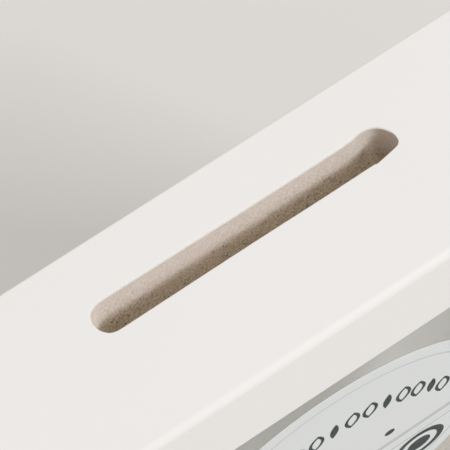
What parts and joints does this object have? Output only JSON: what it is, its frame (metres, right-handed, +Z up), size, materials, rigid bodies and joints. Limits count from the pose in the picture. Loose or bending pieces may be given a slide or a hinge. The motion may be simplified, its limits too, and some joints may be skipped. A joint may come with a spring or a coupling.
{
  "type": "money box frame",
  "caption": "Square deep frame that stands or hangs, with a money slot in its top rail, a clear pane with a round badge in front and a hinged magnetic back door.",
  "frame": {"origin": "middle of the base, level with the undersides of the feet", "axes": "+X to the right seen from the front, +Y from the pane to the back door, +Z up through the money slot"},
  "size_m": [0.18, 0.0426, 0.182],
  "materials": {
    "film_board": "white satin film over fibreboard",
    "raw_board": "raw fibreboard",
    "door_board": "thin fibreboard, pale inside face",
    "clear_pane": "clear polished",
    "badge_vinyl": "satin printed vinyl",
    "steel": "zinc plated",
    "hinge_steel": "stamped and nickel plated",
    "magnet_nickel": "nickel plated",
    "foot_rubber": "matte moulded"
  },
  "bodies": {
    "frame": {"top_rail": "film_board", "bottom_rail": "film_board", "left_rail": "film_board", "right_rail": "film_board", "mitre_wedges": "steel", "pane": "clear_pane", "badge_disc": "badge_vinyl", "top_spacer": "raw_board", "bottom_spacer": "raw_board", "left_spacer": "raw_board", "right_spacer": "raw_board", "magnets": "magnet_nickel", "frame_leaf_upper": "hinge_steel", "frame_leaf_lower": "hinge_steel", "hinge_pin_upper": "steel", "hinge_pin_lower": "steel", "frame_leaf_screws": "steel", "hanger_strap_left": "hinge_steel", "hanger_strap_right": "hinge_steel", "hanger_screws": "steel", "foot_front_left": "foot_rubber", "foot_front_right": "foot_rubber", "foot_back_left": "foot_rubber", "foot_back_right": "foot_rubber", "wall_bumper_left": "foot_rubber", "wall_bumper_right": "foot_rubber"},
    "back_door": {"back_door": "door_board", "strike_discs": "steel", "door_leaf_upper": "hinge_steel", "door_leaf_lower": "hinge_steel", "door_leaf_screws": "steel"},
    "hanger_ring_left": {"hanger_ring_left": "steel"},
    "hanger_ring_right": {"hanger_ring_right": "steel"}
  },
  "joints": [
    {"name": "door_hinge", "type": "hinge", "parent": "frame", "child": "back_door", "pos_m": [-0.07475, 0.01865, 0.092], "axis": [0, 0, 1], "range_deg": [0, 170]},
    {"name": "ring_left_pivot", "type": "hinge", "parent": "frame", "child": "hanger_ring_left", "pos_m": [-0.0825, 0.01885, 0.166], "axis": [1, 0, 0], "range_deg": [0, 180]},
    {"name": "ring_right_pivot", "type": "hinge", "parent": "frame", "child": "hanger_ring_right", "pos_m": [0.0825, 0.01885, 0.166], "axis": [1, 0, 0], "range_deg": [0, 180]}
  ]
}
